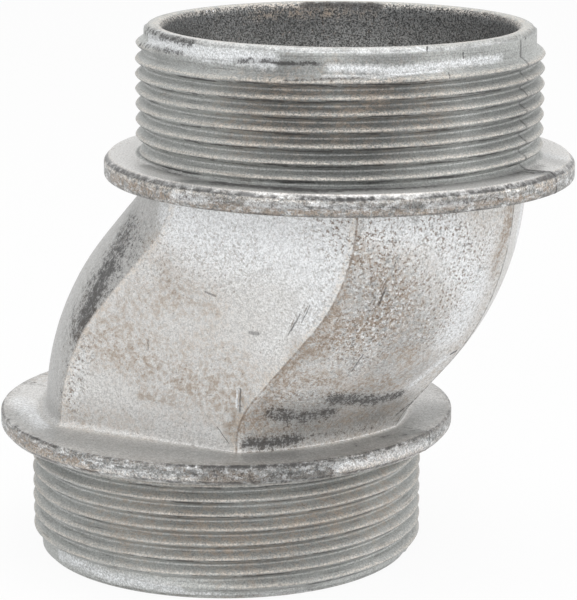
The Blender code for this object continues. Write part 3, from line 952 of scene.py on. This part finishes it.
def makeFinish():
    inMetres = addNode("ShaderNodeTexCoord", {}, output=3)
    place = scaled(inMetres, 1 / mm)
    turned = {"Vector": place, "Angle": math.radians(hairlineTurn)}
    turned = addNode("ShaderNodeVectorRotate", turned, rotation_type="Y_AXIS")
    fine, mottle, patches = grain("fine", place), grain("mottle", place), grain("patches", place)
    smears, drawn = grain("smears", place), grain("drawn", place)
    pits = band(grain("pits", place), 0.66, 0.76)
    hairlines = band(grain("hairlines", turned), 0.60, 0.68)

    threaded = painted("threaded")
    inside = painted("inside")
    edgeBand = painted("edgeBand")
    outside = calculate("SUBTRACT", 1.0, inside)
    colour = blend(threaded, zincLook["clean"], zincLook["thread"])
    # painted shade in the passage near the mouth, fading deeper in
    colour = blend(inside, colour, blend(painted("deep"), zincLook["mouth"], zincLook["inside"]))
    # A dull grey that is partly a dull skin and partly painted shade, on the -X side and the flanges' front
    # faces
    dull = calculate("MAXIMUM", painted("dull"), product(edgeBand, band(smears, 0.42, 0.62, 1.0, 0.4)))
    colour = blend(product(dull, band(mottle, 0.1, 0.55, 0.55, 0.95)), colour, zincLook["dull"])

    # A light tan film lies on all of it, and is thickest where it was painted
    rusty = product(painted("rust"), band(mixed(mottle, 0.6, fine, 0.4), 0.38, 0.60, 0.25, 1.15))
    film = total(mixed(patches, 0.55, mottle, 0.5), product(rusty, 0.75))
    film = band(film, 0.60, 1.10)
    colour = coat(colour, film, "film", "beige")
    colour = coat(colour, band(mixed(rusty, 0.6, fine, 0.9), 0.62, 0.92), "brownFilm", "brown")
    # White bloom, and painted highlights and reflections on the flat's top, the +X side's strip and the
    # crests
    bloom = stained("bloom", mixed(mottle, 0.55, fine, 0.45), 1.5, 0.12, 1.0)
    colour = coat(colour, bloom, "bloom", "bloom")
    colour = coat(colour, product(edgeBand, band(smears, 0.53, 0.61)), "smear", "bloom")

    # Flecks of both kinds where the casting is coarse, and pits all over but on the threads
    coarse = calculate("MAXIMUM", painted("coarse"), product(edgeBand, 0.35))
    pale = product(band(grain("paleFlecks", place), 0.50, 0.62), coarse)
    colour = coat(colour, pale, "paleFleck", "bloom")
    dark = product(band(grain("brownFlecks", place), 0.52, 0.64), total(coarse, 0.18))
    colour = coat(colour, dark, "brownFleck", "brown")
    shadow = product(total(coarse, 0.1), band(mottle, 0.44, 0.34))
    colour = coat(colour, shadow, "shadow", "dull")
    colour = coat(colour, product(pits, calculate("SUBTRACT", 1.0, threaded)), "pit", "brown")

    # Threads: worn crests with a painted highlight, a painted highlight line in each root, painted shade
    # under each crest
    crestWearAndHighlight = product(painted("crest"), band(mixed(fine, 0.6, drawn, 0.6), 0.45, 0.75))
    colour = coat(colour, crestWearAndHighlight, "crestWearAndHighlight", "crest")
    dashes = band(mixed(drawn, 0.7, mottle, 0.3), 0.50, 0.56, 0.12, 0.75)
    colour = blend(product(painted("under"), dashes), colour, zincLook["soot"])
    rootHighlight = product(painted("root"), band(mixed(mottle, 0.6, fine, 0.5), 0.45, 0.75))
    colour = coat(colour, rootHighlight, "rootHighlight", "bloom")
    colour = coat(colour, product(band(drawn, 0.56, 0.70), threaded), "drawnLine", "soot")

    # Edges: dirt beside them, bare metal on them, a brown line along the flats
    edgeDirt = product(painted("dirtyEdge"), band(total(mottle, patches), 0.78, 1.15))
    colour = coat(colour, edgeDirt, "edgeDirt", "soot")
    edgeShine = product(painted("brightEdge"), band(total(fine, mottle), 0.85, 1.15))
    colour = coat(colour, edgeShine, "edgeShine", "crest")
    flatEdge = product(product(product(painted("flat"), painted("side")), painted("lined")), 4.0)
    colour = blend(product(flatEdge, band(mottle, 0.35, 0.6, 0.25, 0.75)), colour, zincLook["brown"])
    dents = product(painted("bright"), product(band(fine, 0.42, 0.6), coats["dent"]))
    colour = blend(dents, colour, zincLook["crest"])

    # Soot, and painted shade under the crests, on the flanges' front faces and in the bore
    soot = stained("soot", mixed(mottle, 0.45, fine, 0.55), 3.4, 0.40, 0.95)
    colour = coat(colour, soot, "soot", "soot")
    seam = product(product(painted("seam"), outside), band(mottle, 0.36, 0.52))
    colour = coat(colour, seam, "seam", "soot")
    hair = product(hairlines, total(painted("scratched"), 0.05))
    colour = coat(colour, hair, "hairline", "brown")

    depths = product(fine, 0.35)
    for start, end, halfWidth, darkness in cuts:
        first, last = seenAt(*start), seenAt(*end)
        if first is None or last is None:
            continue
        mask = cutMask(place, first, last, halfWidth)
        tone = zincLook["soot"] if darkness > 0 else zincLook["bloom"]
        colour = blend(product(mask, abs(darkness)), colour, tone)
        depths = calculate("SUBTRACT", depths, product(mask, 1.2))

    # The speckle of cast metal, stronger in the bore and on the flanges' edges
    speckle = mixed(fine, 0.55, grain("tiny", place), 0.45)
    slight = band(speckle, 0.36, 0.64, 0.84, 1.10)
    strong = band(speckle, 0.40, 0.60, 0.25, 1.75)
    share = calculate("MAXIMUM", calculate("MAXIMUM", inside, product(edgeBand, 0.3)), 0.16)
    gain = addNode("ShaderNodeMix", {0: share, 2: slight, 3: strong})
    colour = scaled(colour, gain)
    zincTree.links.new(colour, shader.inputs["Base Color"])

    covered = calculate("MAXIMUM", soot, product(film, 0.6))
    covered = calculate("ADD", covered, product(bloom, 0.4), clamp=True)
    zincTree.links.new(band(covered, 0.0, 1.0, zincLook["metallic"], 0.25), shader.inputs["Metallic"])
    rough = total(mixed(covered, 0.2, mottle, 0.25), product(threaded, 0.14))
    zincTree.links.new(total(rough, zincLook["roughness"] - 0.12), shader.inputs["Roughness"])
    depths = total(depths, product(mottle, 0.9))
    depths = calculate("SUBTRACT", depths, product(pits, 0.8))
    depths = calculate("SUBTRACT", depths, product(hair, 0.7))
    depths = total(depths, product(product(drawn, threaded), 0.8))
    bump = addNode("ShaderNodeBump", {"Strength": 1.0, "Distance": zincLook["bumpDepth"], "Height": depths})
    zincTree.links.new(bump, shader.inputs["Normal"])


makeFinish()
mesh.materials.append(finish)
print("finish: cast zinc with", len(cuts), "cuts and", len(zincTree.nodes), "nodes")

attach(nipple, "root")
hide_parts("nipple_casting")

studio = {
    "floorHalf": 3.0,
    "floorColour": (0.9, 0.9, 0.9, 1.0),
    "floorRoughness": 0.9,
    "floorGlow": 0.93,
    "worldLight": 0.5,
    "lampTarget": (0.0, 0.0, 0.045),
    "lamps": [  # name, place, size and power
        ("overheadLamp", (0.05, -0.05, 0.9), 0.7, 3.4),
        ("frontLamp", (0.30, -0.90, 0.50), 0.5, 3.0),
        ("sideLamp", (0.95, 0.35, 0.35), 0.5, 2.2),
    ],
}


def directRays(tree):  # 1 for what the camera sees, in reflections and through glass too
    seen = addTo(tree, "ShaderNodeLightPath", {}, output="Is Camera Ray")
    rays = seen.node.outputs
    for name in ("Is Glossy Ray", "Is Transmission Ray"):
        seen = addTo(tree, "ShaderNodeMath", {0: seen, 1: rays[name]}, operation="MAXIMUM")
    return seen


def addFloor():
    half = studio["floorHalf"]
    plane = bpy.data.meshes.new("studioFloor")
    corners = [(-half, -half, 0), (half, -half, 0), (half, half, 0), (-half, half, 0)]
    plane.from_pydata(corners, [], [(0, 1, 2, 3)])
    floor = bpy.data.objects.new("studioFloor", plane)
    bpy.context.scene.collection.objects.link(floor)
    paper = bpy.data.materials.new("palePaper")
    paper.use_nodes = True
    tree = paper.node_tree
    surface = tree.nodes["Principled BSDF"]
    surface.inputs["Base Color"].default_value = studio["floorColour"]
    surface.inputs["Roughness"].default_value = studio["floorRoughness"]
    glow = addTo(tree, "ShaderNodeEmission", {})
    share = {0: directRays(tree), 1: studio["floorGlow"]}
    share = addTo(tree, "ShaderNodeMath", share, operation="MULTIPLY")
    mix = addTo(tree, "ShaderNodeMixShader", {0: share, 1: surface.outputs[0], 2: glow})
    tree.links.new(mix, tree.nodes["Material Output"].inputs["Surface"])
    plane.materials.append(paper)


def addWorld():
    world = bpy.data.worlds.new("studioWorld")
    bpy.context.scene.world = world
    world.use_nodes = True
    tree = world.node_tree
    levels = {0: directRays(tree), 3: studio["worldLight"], 4: 1.0}
    background = tree.nodes["Background"].inputs
    background["Color"].default_value = (1.0, 1.0, 1.0, 1.0)
    tree.links.new(addTo(tree, "ShaderNodeMapRange", levels), background["Strength"])


def addLamp(name, place, size, power):
    lamp = bpy.data.lights.new(name, "AREA")
    lamp.shape = "DISK"
    lamp.size = size
    lamp.energy = power
    holder = bpy.data.objects.new(name, lamp)
    holder.location = place
    toTarget = Vector(studio["lampTarget"]) - Vector(place)
    holder.rotation_euler = toTarget.to_track_quat("-Z", "Y").to_euler()
    bpy.context.scene.collection.objects.link(holder)


addFloor()
addWorld()
for lampSettings in studio["lamps"]:
    addLamp(*lampSettings)
bpy.context.scene.view_settings.view_transform = "Standard"
print("studio: floor, world and", len(studio["lamps"]), "lamps")
